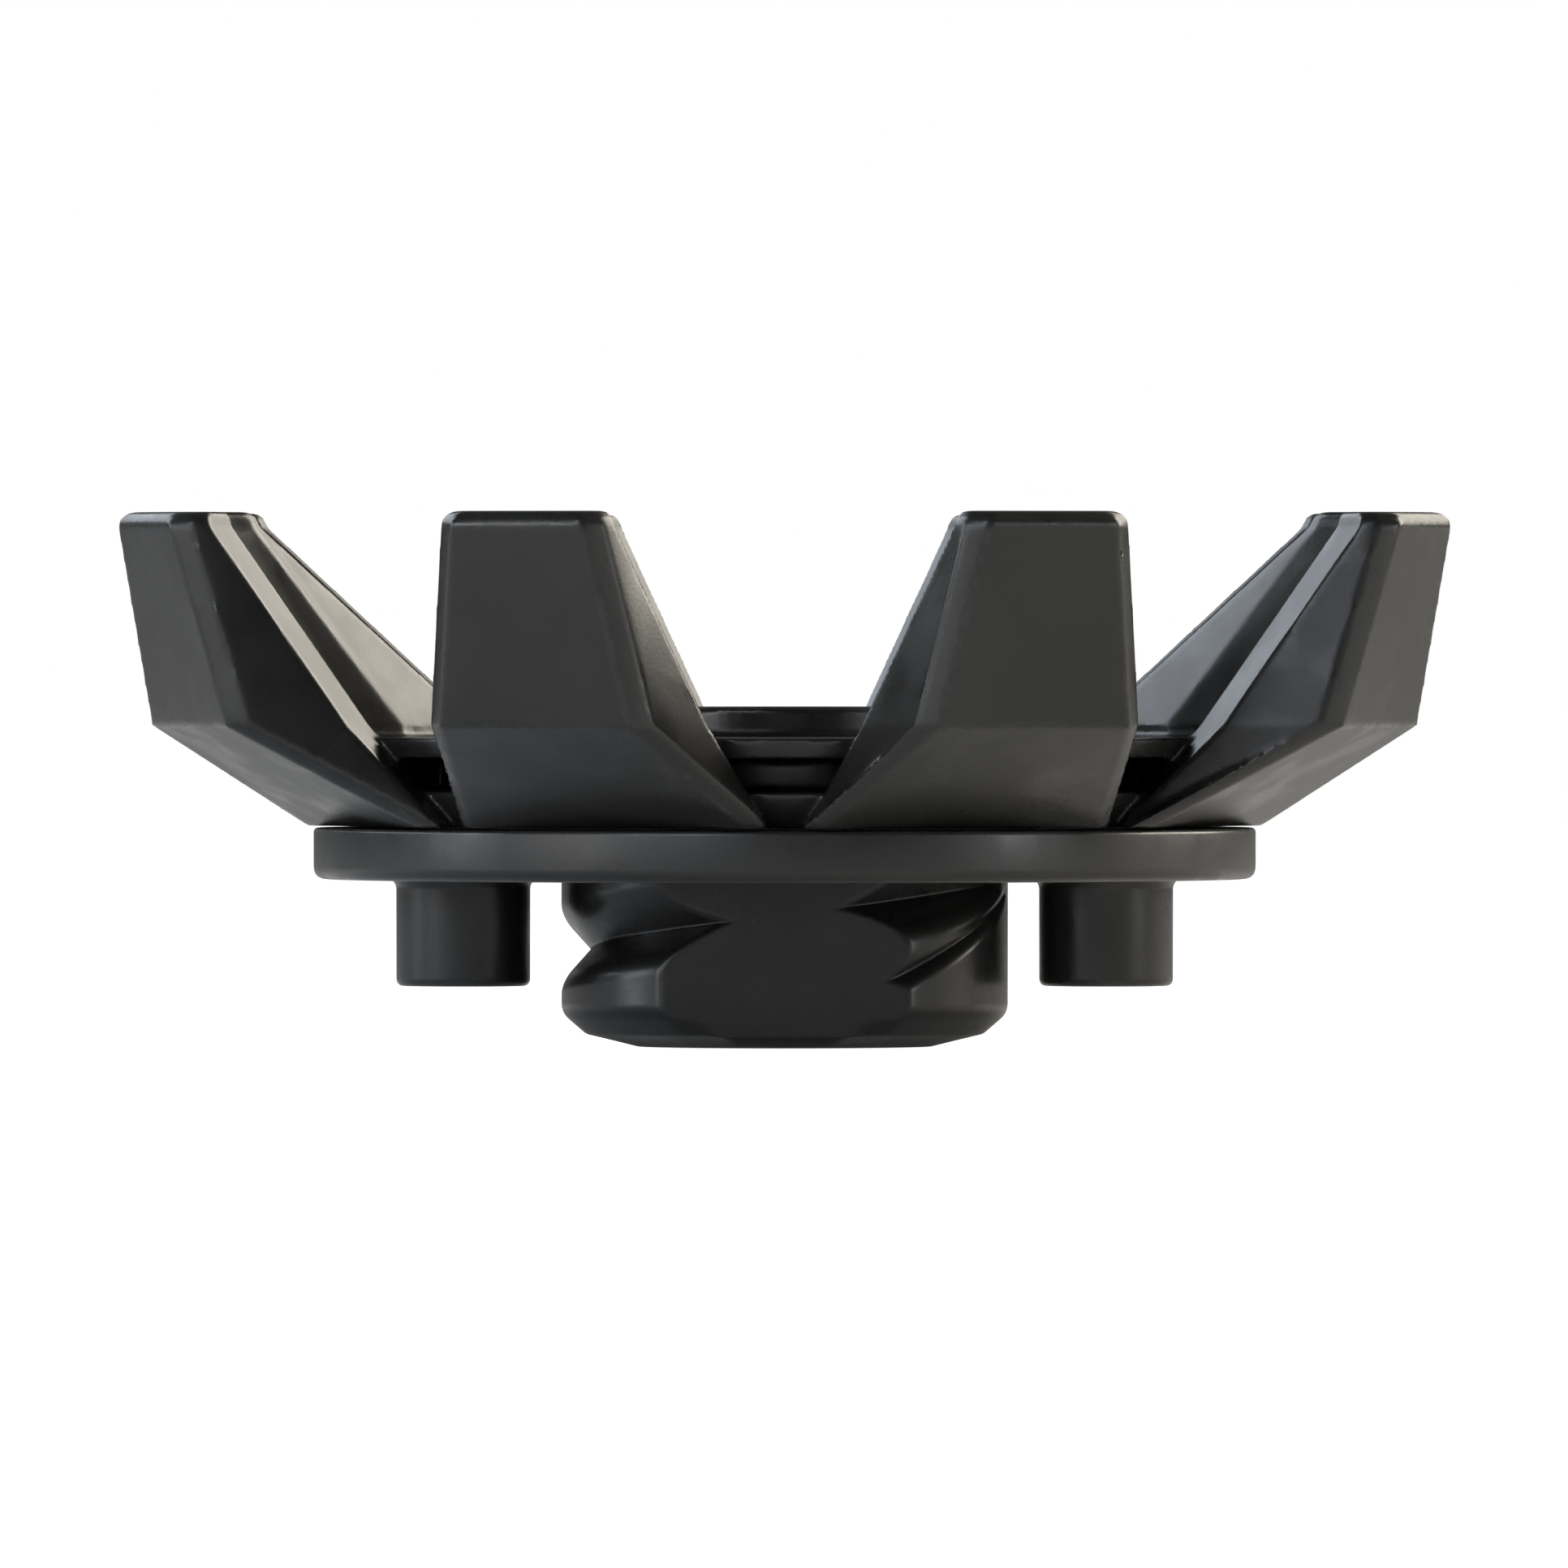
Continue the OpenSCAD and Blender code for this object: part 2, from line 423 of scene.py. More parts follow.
def rounded(profile, radii, steps=5):
    """Round the corners of a closed (radius, height) profile, one radius for each corner."""
    out = []
    count = len(profile)
    for i, (point, radius) in enumerate(zip(profile, radii)):
        here = Vector(point)
        if radius <= 0:
            out.append(tuple(here))
            continue
        before = Vector(profile[i - 1])
        after = Vector(profile[(i + 1) % count])
        into = (before - here).normalized()
        onto = (after - here).normalized()
        half = math.acos(max(-1.0, min(1.0, into.dot(onto)))) / 2
        back = radius / math.tan(half)
        for k in range(steps + 1):
            t = k / steps
            a = here + into * back * (1 - t) ** 2
            out.append(tuple(a + onto * back * t**2))
    return out


def blend_min(a, b, soft):
    """Smaller of two lengths, with a rounded change from one to the other."""
    h = max(soft - abs(a - b), 0.0) / soft
    return min(a, b) - h * h * soft / 4


def new_piece(name, bm, body, nodes, material):
    """Turn a bmesh into a piece that rides on a body and stands for CAD nodes."""
    bmesh.ops.recalc_face_normals(bm, faces=bm.faces)
    mesh = bpy.data.meshes.new(name)
    bm.to_mesh(mesh)
    bm.free()
    obj = bpy.data.objects.new(name, mesh)
    bpy.context.scene.collection.objects.link(obj)
    mesh.shade_smooth()
    mesh.materials.append(material)
    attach(obj, body)
    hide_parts(*nodes)
    return obj


def apply_modifiers(obj):
    """Replace an object's mesh by the result of its modifiers."""
    graph = bpy.context.evaluated_depsgraph_get()
    graph.update()
    done = bpy.data.meshes.new_from_object(obj.evaluated_get(graph))
    old = obj.data
    obj.modifiers.clear()
    obj.data = done
    done.name = old.name
    bpy.data.meshes.remove(old)
    done.shade_smooth()


def soften(obj, voxel, passes, keep):
    """Merge overlapping shells into one skin and round every edge, as a mould does."""
    remesh = obj.modifiers.new("merge", "REMESH")
    remesh.mode = "VOXEL"
    remesh.voxel_size = voxel
    smooth = obj.modifiers.new("round", "SMOOTH")
    smooth.factor = 0.5
    smooth.iterations = passes
    thin = obj.modifiers.new("thin", "DECIMATE")
    thin.ratio = keep
    apply_modifiers(obj)


def mark_edges(obj, radius):
    """Store how sharply each vertex turns outwards, 1 at the given edge radius."""
    shortest = 1e-7
    blur_passes = 2
    bm = bmesh.new()
    bm.from_mesh(obj.data)
    turn = [0.0] * len(bm.verts)
    for edge in bm.edges:
        if len(edge.link_faces) != 2:
            continue
        length = edge.calc_length()
        if length < shortest:
            continue
        across = sum(face.calc_area() for face in edge.link_faces) / length
        bend = edge.calc_face_angle_signed(0.0) / max(across, shortest)
        for vert in edge.verts:
            turn[vert.index] = max(turn[vert.index], bend)
    for _ in range(blur_passes):
        blurred = []
        for vert in bm.verts:
            around = sum(turn[edge.other_vert(vert).index] for edge in vert.link_edges)
            blurred.append(0.5 * turn[vert.index] + 0.5 * around / max(1, len(vert.link_edges)))
        turn = blurred
    bm.free()
    layer = obj.data.attributes.new("edge", "FLOAT", "POINT")
    layer.data.foreach_set("value", [max(0.0, min(1.0, value * radius)) for value in turn])


# ---------------------------------------------------------------- finishes


def node_group(name, inputs, outputs):
    """Start a shader node group with named float, vector or colour sockets."""
    group = bpy.data.node_groups.new(name, "ShaderNodeTree")
    kinds = {"value": "NodeSocketFloat", "vector": "NodeSocketVector", "colour": "NodeSocketColor"}
    for label, kind, default in inputs:
        socket = group.interface.new_socket(label, in_out="INPUT", socket_type=kinds[kind])
        if default is not None:
            socket.default_value = default
    for label, kind in outputs:
        group.interface.new_socket(label, in_out="OUTPUT", socket_type=kinds[kind])
    return group, group.nodes.new("NodeGroupInput"), group.nodes.new("NodeGroupOutput")


def wire(tree, source, target):
    """Join one node's output to another's input."""
    tree.links.new(source, target)


def feed(tree, value, socket):
    """Put a value on a socket: another node's output, or a plain number."""
    if hasattr(value, "links"):
        wire(tree, value, socket)
    else:
        socket.default_value = value


def noise_node(tree, vector, scale, detail=3.0, rough=0.55):
    """Noise at a scale, 0 to 1."""
    node = tree.nodes.new("ShaderNodeTexNoise")
    node.inputs["Detail"].default_value = detail
    node.inputs["Roughness"].default_value = rough
    feed(tree, scale, node.inputs["Scale"])
    wire(tree, vector, node.inputs["Vector"])
    return node.outputs["Fac"]


def sums(tree, operation, a, b, clamp=False):
    """Add, subtract or multiply two values."""
    node = tree.nodes.new("ShaderNodeMath")
    node.operation = operation
    node.use_clamp = clamp
    for socket, value in zip(node.inputs, (a, b)):
        feed(tree, value, socket)
    return node.outputs[0]


def spread(tree, value, low, high, to_low=0.0, to_high=1.0):
    """Stretch the part of a value between two levels over a new range, with soft ends."""
    node = tree.nodes.new("ShaderNodeMapRange")
    node.interpolation_type = "SMOOTHSTEP"
    wire(tree, value, node.inputs["Value"])
    levels = (("From Min", low), ("From Max", high), ("To Min", to_low), ("To Max", to_high))
    for label, number in levels:
        node.inputs[label].default_value = number
    return node.outputs["Result"]


def mix_colour(tree, share, a, b):
    """Mix two colours by a share, where each is a plain colour or a node's output."""
    node = tree.nodes.new("ShaderNodeMix")
    node.data_type = "RGBA"
    wire(tree, share, node.inputs["Factor"])
    for socket, value in ((node.inputs["A"], a), (node.inputs["B"], b)):
        if hasattr(value, "links"):
            wire(tree, value, socket)
        else:
            socket.default_value = (*value, 1.0)
    return node.outputs["Result"]


def mould_grain_group():
    """Fine spark-eroded grain, and the slow cloudiness of flow in the mould."""
    group, entry, leave = node_group(
        "Mould Grain",
        [("Vector", "vector", None), ("Grain Scale", "value", 5200.0), ("Flow Scale", "value", 120.0)],
        [("Height", "value"), ("Cloud", "value"), ("Smudge", "value")],
    )
    vector = entry.outputs["Vector"]
    grain = noise_node(group, vector, entry.outputs["Grain Scale"], 4.0, 0.6)
    flow = noise_node(group, vector, entry.outputs["Flow Scale"], 3.0, 0.5)
    smudge_scale = sums(group, "MULTIPLY", entry.outputs["Flow Scale"], 3.1)
    smudge = noise_node(group, vector, smudge_scale, 2.0, 0.5)
    ripple = sums(group, "MULTIPLY", flow, 0.35)
    wire(group, sums(group, "ADD", grain, ripple), leave.inputs["Height"])
    wire(group, spread(group, flow, 0.3, 0.72), leave.inputs["Cloud"])
    wire(group, spread(group, smudge, 0.35, 0.75), leave.inputs["Smudge"])
    return group


def edge_rub_group():
    """Where handling has polished and greyed the edges, broken up so that it isn't even."""
    group, entry, leave = node_group(
        "Edge Rub",
        [("Edge", "value", 0.0), ("Vector", "vector", None), ("Break-up Scale", "value", 900.0)],
        [("Mask", "value")],
    )
    broken = noise_node(group, entry.outputs["Vector"], entry.outputs["Break-up Scale"], 4.0, 0.6)
    share = spread(group, broken, 0.3, 0.62, 0.25, 1.0)
    edge = spread(group, entry.outputs["Edge"], 0.25, 0.95)
    wire(group, sums(group, "MULTIPLY", edge, share, clamp=True), leave.inputs["Mask"])
    return group


def mould_grain():
    return bpy.data.node_groups.get("Mould Grain") or mould_grain_group()


def edge_rub():
    return bpy.data.node_groups.get("Edge Rub") or edge_rub_group()


def place_group(tree, group, **links):
    """Place a node group; each keyword is an input's name, with _ for a space."""
    node = tree.nodes.new("ShaderNodeGroup")
    node.node_tree = group
    for label, value in links.items():
        feed(tree, value, node.inputs[label.replace("_", " ")])
    return node


def rubbed_edges(tree, place):
    """Mask of the rubbed edges, from the sharpness stored on the mesh."""
    mark = tree.nodes.new("ShaderNodeAttribute")
    mark.attribute_name = "edge"
    return place_group(tree, edge_rub(), Edge=mark.outputs["Fac"], Vector=place).outputs["Mask"]


def shader_start(name):
    """New material, with its node tree, its shader and its object coordinates."""
    material = bpy.data.materials.new(name)
    material.use_nodes = True
    tree = material.node_tree
    shader = tree.nodes["Principled BSDF"]
    place = tree.nodes.new("ShaderNodeTexCoord")
    return material, tree, shader, place.outputs["Object"]


def bump(tree, shader, height, depth):
    """Raise the surface by a height pattern of a given depth."""
    node = tree.nodes.new("ShaderNodeBump")
    node.inputs["Distance"].default_value = depth
    node.inputs["Strength"].default_value = 1.0
    wire(tree, height, node.inputs["Height"])
    wire(tree, node.outputs["Normal"], shader.inputs["Normal"])


# Moulded plastic: how much paler rubbed edges are, and how much smoother smudges
# and rubbed edges are
EDGE_LIFT = 0.012
SMUDGE_GLOSS = 0.09
EDGE_GLOSS = 0.12
# Depth of the surface pattern on most pieces, and on the smoother neck
GRAIN_DEPTH = 0.000006
FINE_GRAIN_DEPTH = 0.000005


def moulded_plastic(name, colour, rough, grain_scale, grain_depth):
    """Satin moulded plastic: grain, cloudy flow, finger smudges and rubbed edges."""
    material, tree, shader, place = shader_start(name)
    grain = place_group(tree, mould_grain(), Vector=place, Grain_Scale=grain_scale)
    rub = rubbed_edges(tree, place)
    pale = [value * 1.35 + 0.002 for value in colour]
    worn = [value + EDGE_LIFT for value in colour]
    base = mix_colour(tree, grain.outputs["Cloud"], colour, pale)
    base = mix_colour(tree, rub, base, worn)
    wire(tree, base, shader.inputs["Base Color"])
    smudged = spread(tree, grain.outputs["Smudge"], 0.0, 1.0, rough, rough - SMUDGE_GLOSS)
    polished = sums(tree, "MULTIPLY", rub, EDGE_GLOSS)
    wire(tree, sums(tree, "SUBTRACT", smudged, polished), shader.inputs["Roughness"])
    bump(tree, shader, grain.outputs["Height"], grain_depth)
    return material


def natural_plastic(name, colour):
    """Unfilled low-friction plastic: faint flow clouding and glossier smudges."""
    material, tree, shader, place = shader_start(name)
    grain = place_group(tree, mould_grain(), Vector=place, Grain_Scale=3000.0)
    darker = [value * 0.86 for value in colour]
    wire(tree, mix_colour(tree, grain.outputs["Cloud"], colour, darker), shader.inputs["Base Color"])
    wire(tree, spread(tree, grain.outputs["Smudge"], 0.0, 1.0, 0.42, 0.32), shader.inputs["Roughness"])
    shader.inputs["Subsurface Weight"].default_value = 0.08
    shader.inputs["Subsurface Radius"].default_value = (0.0006, 0.0005, 0.0004)
    bump(tree, shader, grain.outputs["Height"], GRAIN_DEPTH)
    return material


def turned_brass(name, colour):
    """Turned brass: fine tool rings round the axis, tarnish in slow clouds, bright edges."""
    material, tree, shader, place = shader_start(name)
    grain = place_group(tree, mould_grain(), Vector=place, Grain_Scale=2600.0)
    rub = rubbed_edges(tree, place)
    rings = tree.nodes.new("ShaderNodeTexWave")
    rings.wave_type = "RINGS"
    rings.rings_direction = "Z"
    rings.inputs["Scale"].default_value = 1600.0
    rings.inputs["Distortion"].default_value = 1.5
    wire(tree, place, rings.inputs["Vector"])
    tarnish = [colour[0] * 0.5, colour[1] * 0.42, colour[2] * 0.36]
    base = mix_colour(tree, grain.outputs["Cloud"], colour, tarnish)
    bright = [min(1.0, value * 1.25) for value in colour]
    base = mix_colour(tree, rub, base, bright)
    wire(tree, base, shader.inputs["Base Color"])
    shader.inputs["Metallic"].default_value = 1.0
    wire(tree, spread(tree, grain.outputs["Smudge"], 0.0, 1.0, 0.36, 0.22), shader.inputs["Roughness"])
    ridges = sums(tree, "MULTIPLY", rings.outputs["Fac"], 0.6)
    bump(tree, shader, sums(tree, "ADD", grain.outputs["Height"], ridges), GRAIN_DEPTH)
    return material


# ---------------------------------------------------------------- crown


# Shoulder between a wing's flank and its back: its run, and how far it stands out
# past the outer face
SHOULDER_BEVEL = 1.8 * MM
WAIST_SHOULDER_OUT = 0.8 * MM
TIP_SHOULDER_OUT = 0.2 * MM

# Rib on a wing's back: half width at its root, and the break in its side as a
# distance out from the ridge and a half width
WAIST_RIB_HALF_W = 2.8 * MM
TIP_RIB_HALF_W = 1.2 * MM
WAIST_BREAK_RUN = 4.4 * MM
WAIST_BREAK_HALF_W = 2.5 * MM
TIP_BREAK_RUN = 0.5 * MM
TIP_BREAK_HALF_W = 0.8 * MM
RIDGE_HALF_W = 0.3 * MM

# Foot of a wing, a thin block that ends inside the hub: how far its corners lie
# in from the outer face
FOOT_SHOULDER_RUN = 1.5 * MM
FOOT_SHOULDER_IN = 0.5 * MM
FOOT_BACK_RUN = 1.8 * MM
FOOT_BREAK_RUN = 1.85 * MM
FOOT_BREAK_HALF_W = 1.5 * MM
FOOT_RIDGE_RUN = 1.9 * MM

# Groove round the hub under the floor, and the recess for the washer
HUB_GROOVE_R = 17.0 * MM
HUB_GROOVE_LOW = 4.0 * MM
HUB_GROOVE_TOP = 5.5 * MM
WASHER_CLEARANCE = 0.2 * MM

# Softening of the moulding: smoothing passes, and the share of faces kept
ROUNDING_PASSES = 7
FACES_KEPT = 0.19


def wing_outline(face_r, half_w, bevel, shoulder, back_r, rib_half_w, rib_break, nose_r):
    """Plan of a wing at one height: bevelled face, flanks, shoulders, back and rib."""
    back_half_w = shoulder[1] - (shoulder[0] - back_r)
    side = [
        (face_r, half_w - bevel),
        (face_r - bevel, half_w),
        shoulder,
        (back_r, back_half_w),
        (back_r, rib_half_w),
        rib_break,
        (nose_r, RIDGE_HALF_W),
    ]
    return side + [(u, -t) for u, t in reversed(side)]


def drawn_in(sizes, plan, inset):
    """A tip's plan made smaller by an inset, for the rounding up to its top face."""
    middle = (sizes.tip_r + sizes.tip_nose_r) / 2
    along = 1 - inset / (sizes.tip_r - middle)
    across = 1 - inset / sizes.tip_half_w
    return [(middle + (u - middle) * along, t * across) for u, t in plan]


def wing_rings(sizes):
    """The wing's plan at its foot, its break, under the tip and round to the tip's top face."""
    foot = wing_outline(
        sizes.base_r,
        sizes.base_half_w,
        sizes.edge_bevel,
        (sizes.base_r - FOOT_SHOULDER_RUN, sizes.base_half_w - FOOT_SHOULDER_IN),
        sizes.base_r - FOOT_BACK_RUN,
        WAIST_RIB_HALF_W,
        (sizes.base_r - FOOT_BREAK_RUN, FOOT_BREAK_HALF_W),
        sizes.base_r - FOOT_RIDGE_RUN,
    )
    waist = wing_outline(
        sizes.waist_r,
        sizes.waist_half_w,
        sizes.edge_bevel,
        (sizes.waist_back_r + SHOULDER_BEVEL, sizes.waist_half_w + WAIST_SHOULDER_OUT),
        sizes.waist_back_r,
        WAIST_RIB_HALF_W,
        (sizes.waist_nose_r + WAIST_BREAK_RUN, WAIST_BREAK_HALF_W),
        sizes.waist_nose_r,
    )
    tip = wing_outline(
        sizes.tip_r,
        sizes.tip_half_w,
        sizes.edge_bevel,
        (sizes.tip_back_r + SHOULDER_BEVEL, sizes.tip_half_w + TIP_SHOULDER_OUT),
        sizes.tip_back_r,
        TIP_RIB_HALF_W,
        (sizes.tip_nose_r + TIP_BREAK_RUN, TIP_BREAK_HALF_W),
        sizes.tip_nose_r,
    )
    levels = [(foot, FOOT_Z), (waist, sizes.waist_z)]
    for degrees in (0, 30, 60, 90):
        inset = sizes.tip_round * (1 - math.cos(math.radians(degrees)))
        rise = sizes.tip_round * math.sin(math.radians(degrees))
        levels.append((drawn_in(sizes, tip, inset), TIP_Z - sizes.tip_round + rise))
    return [[(u, t, z) for u, t in plan] for plan, z in levels]


def hub_radius(sizes, z):
    """Radius of the hub's flared side at a height."""
    return sizes.foot_r + (sizes.floor_r - sizes.foot_r) * (z - FOOT_Z) / (sizes.floor_z - FOOT_Z)


def build_crown(sizes, material):
    """Wings and hub as overlapping shells, merged into one skin with rounded edges."""
    bm = bmesh.new()
    rings = wing_rings(sizes)
    for k in range(sizes.wings):
        angle = 2 * math.pi * (k + 0.5) / sizes.wings
        c, s = math.cos(angle), math.sin(angle)
        loft(bm, [[(u * c - t * s, u * s + t * c, z) for u, t, z in ring] for ring in rings])
    seat_r = WASHER_R + WASHER_CLEARANCE
    hub = [
        (DRIVE_R, WASHER_TOP),
        (DRIVE_R, DRIVE_TOP),
        (STUD_WAY_R, DRIVE_TOP),
        (STUD_WAY_R, sizes.boss_z),
        (sizes.boss_r, sizes.boss_z),
        (sizes.boss_r, sizes.floor_z),
        (sizes.floor_r, sizes.floor_z),
        (hub_radius(sizes, HUB_GROOVE_TOP), HUB_GROOVE_TOP),
        (HUB_GROOVE_R, HUB_GROOVE_TOP),
        (HUB_GROOVE_R, HUB_GROOVE_LOW),
        (hub_radius(sizes, HUB_GROOVE_LOW), HUB_GROOVE_LOW),
        (sizes.foot_r, FOOT_Z),
        (seat_r, FOOT_Z),
        (seat_r, WASHER_TOP),
    ]
    turned(bm, hub, 192)
    obj = new_piece("wing_crown_moulding", bm, CROWN_BODY, ["wing_crown"], material)
    soften(obj, sizes.voxel, ROUNDING_PASSES, FACES_KEPT)
    mark_edges(obj, 0.5 * MM)


# ---------------------------------------------------------------- plate and washer


def build_plate(sizes, material):
    """Round plate with a bore and a recess, and two pegs that run up into it."""
    bm = bmesh.new()
    corners = [
        (sizes.bore_r, sizes.recess_z),
        (sizes.recess_r, sizes.recess_z),
        (sizes.recess_r, 0.0),
        (PLATE_R, 0.0),
        (PLATE_R, PLATE_TOP),
        (sizes.bore_r, PLATE_TOP),
    ]
    radii = [0.1 * MM, 0.0, 0.15 * MM, sizes.rim_round * 1.3, 0.22 * MM, 0.12 * MM]
    turned(bm, rounded(corners, radii), 256)
    root = 0.25 * MM
    overlap = 0.4 * MM
    end_round = 0.35 * MM
    root_round = 0.5 * MM
    for side in (-1, 1):
        peg = [
            (0.0, PEG_END),
            (sizes.peg_r, PEG_END),
            (sizes.peg_r, -root),
            (sizes.peg_r + root, 0.0),
            (sizes.peg_r + root, overlap),
            (0.0, overlap),
        ]
        peg = rounded(peg, [0.0, end_round, root_round, 0.0, 0.0, 0.0])
        add_turned_solid(bm, peg, 96, (side * sizes.peg_spacing / 2, 0.0))
    obj = new_piece("peg_plate_moulding", bm, PLATE_BODY, ["peg_plate"], material)
    mark_edges(obj, 0.5 * MM)


def build_washer(material):
    """Thin flat ring round the journal."""
    bm = bmesh.new()
    low = WASHER_LOW[2]
    corners = [
        (JOURNAL_BORE_R, low),
        (WASHER_R, low),
        (WASHER_R, WASHER_TOP),
        (JOURNAL_BORE_R, WASHER_TOP),
    ]
    turned(bm, rounded(corners, [0.08 * MM] * 4, 3), 192)
    obj = new_piece("thrust_washer_ring", bm, CROWN_BODY, ["thrust_washer"], material)
    mark_edges(obj, 0.2 * MM)


# ---------------------------------------------------------------- neck and insert


# Thread groove, in degrees from +X: its ends, and the stretch over which it fades
GROOVE_FROM = 15
GROOVE_TO = 345
GROOVE_FADE = 40
GROOVE_BLEND = 0.5 * MM

# Slanting relief across the thread's start, in degrees and lengths
RELIEF_FROM = -104
RELIEF_SPAN = 94.0
RELIEF_START_Z = -7.6 * MM
RELIEF_RISE = 0.0727 * MM
RELIEF_DEPTH = 0.7 * MM
RELIEF_SLOPE = 0.93
RELIEF_BLEND = 0.35 * MM
FLAT_BLEND = 0.12 * MM

# Flange that holds the neck up in the plate
FLANGE_R = 10.2 * MM
FLANGE_LOW = 0.1 * MM
FLANGE_TOP = 1.0 * MM
FLANGE_BEVEL = 0.08 * MM

# Nose of the neck: how far in its break lies, and the heights of its two chamfers
NOSE_STEP = 1.1 * MM
NOSE_TIP_LEN = 0.55 * MM
NOSE_LEN = 1.5 * MM


def neck_radius(sizes, angle, base_r, z):
    """Outside radius of the threaded stretch at an angle from +X and a height."""
    depth = sizes.crest_r - sizes.root_r
    degrees = math.degrees(angle) % 360
    share = min(1.0, (degrees - GROOVE_FROM) / GROOVE_FADE, (GROOVE_TO - degrees) / GROOVE_FADE)
    share = max(0.0, share)
    middle = sizes.groove_z + sizes.pitch * (degrees - 180) / 360
    away = abs(z - middle)
    flank = (sizes.groove_w / 2) / depth
    floor_r = sizes.crest_r - depth * math.sqrt(share)
    groove_r = floor_r + away / flank
    radius = blend_min(base_r, groove_r, GROOVE_BLEND) if share > 0 else base_r
    radius = min(radius, base_r)
    turn = (degrees + 360 - RELIEF_FROM) % 360
    if turn <= RELIEF_SPAN:
        fade = math.sqrt(max(0.0, 1 - turn / RELIEF_SPAN))
        line = RELIEF_START_Z + RELIEF_RISE * turn
        relief_r = sizes.crest_r - RELIEF_DEPTH * fade + abs(z - line) * RELIEF_SLOPE
        radius = blend_min(radius, relief_r, RELIEF_BLEND)
    flat_r = sizes.flat_d / max(abs(math.sin(angle)), 1e-6)
    return blend_min(radius, flat_r, FLAT_BLEND)


def hexagon_radius(angle, corner_r):
    """Radius of a six-sided prism with a corner on +X."""
    sector = math.radians(60)
    local = (angle % sector) - sector / 2
    return corner_r * math.cos(sector / 2) / math.cos(local)


def neck_profile(sizes):
    """Closed profile of the neck as (radius, height, kind) points, from the end's bore outwards."""
    crest = sizes.crest_r
    end = NECK_END
    points = [(sizes.insert_r, end, "plain"), (sizes.nose_r, end, "plain")]
    nose = [
        (sizes.nose_r - 1.0 * MM, end),
        (sizes.nose_r, end),
        (crest - NOSE_STEP, end + NOSE_TIP_LEN),
        (crest, end + NOSE_LEN),
        (crest, end + 2.8 * MM),
    ]
    curve = rounded(nose, [0.0, 0.8 * MM, 0.6 * MM, 0.9 * MM, 0.0])[1:-1]
    points += [(r, z, "thread") for r, z in curve]
    rows = 72
    low = curve[-1][1]
    points += [(crest, low + (FLANGE_LOW - low) * k / rows, "thread") for k in range(1, rows + 1)]
    points += [
        (FLANGE_R - FLANGE_BEVEL, FLANGE_LOW, "plain"),
        (FLANGE_R, FLANGE_LOW + FLANGE_BEVEL, "plain"),
        (FLANGE_R, FLANGE_TOP, "plain"),
        (JOURNAL_R, FLANGE_TOP, "plain"),
        (JOURNAL_R, WASHER_TOP, "plain"),
        (DRIVE_R, WASHER_TOP, "hexagon"),
        (DRIVE_R, DRIVE_TOP, "hexagon"),
        (STUD_WAY_R, DRIVE_TOP, "plain"),
        (STUD_WAY_R, INSERT_HIGH[2], "plain"),
        (sizes.insert_r, INSERT_HIGH[2], "plain"),
    ]
    return points


def build_neck(sizes, material):
    """Neck with its thread, flats, flange, journal and six-sided drive."""
    steps = 360
    bm = bmesh.new()
    rings = []
    for r, z, kind in neck_profile(sizes):
        ring = []
        for k in range(steps):
            angle = 2 * math.pi * k / steps
            here = r
            if kind == "thread":
                here = neck_radius(sizes, angle, r, z)
            if kind == "hexagon":
                here = hexagon_radius(angle, r)
            ring.append((here * math.cos(angle), here * math.sin(angle), z))
        rings.append(ring)
    loft(bm, rings, closed=True)
    obj = new_piece("threaded_neck_moulding", bm, CROWN_BODY, ["threaded_neck"], material)
    mark_edges(obj, 0.4 * MM)


# Insert: plain waist between two knurled bands, and the depth of its thread
WAIST_HALF_LEN = 1.0 * MM
WAIST_DEPTH = 0.4 * MM
KNURL_TEETH = 26
KNURL_RISE = 0.9 * MM
KNURL_DEPTH = 0.2 * MM
INSERT_THREAD_DEPTH = 0.62 * MM
INSERT_LEAD_IN = 0.45 * MM
INSERT_END_STEP = 0.25 * MM
INSERT_END_BAND = 0.2 * MM


def insert_outer_radius(sizes, angle, z):
    """Two bands of crossed knurling with a plain waist between them."""
    low, high = INSERT_LOW[2], INSERT_HIGH[2]
    middle = (low + high) / 2
    if abs(z - middle) < WAIST_HALF_LEN:
        return sizes.insert_r - WAIST_DEPTH
    twist = (z - low) / KNURL_RISE
    up = abs(((angle * KNURL_TEETH / (2 * math.pi) + twist) % 1.0) - 0.5)
    down = abs(((angle * KNURL_TEETH / (2 * math.pi) - twist) % 1.0) - 0.5)
    return sizes.insert_r - KNURL_DEPTH + 2 * KNURL_DEPTH * min(up, down)


def insert_inner_radius(sizes, angle, z):
    """Sixty-degree thread cut into the bore, right-hand."""
    phase = ((z / sizes.insert_pitch) - angle / (2 * math.pi)) % 1.0
    ridge = min(1.0, 2.3 * abs(phase - 0.5))
    return sizes.insert_minor_r + INSERT_THREAD_DEPTH * (1 - ridge) * 0.98


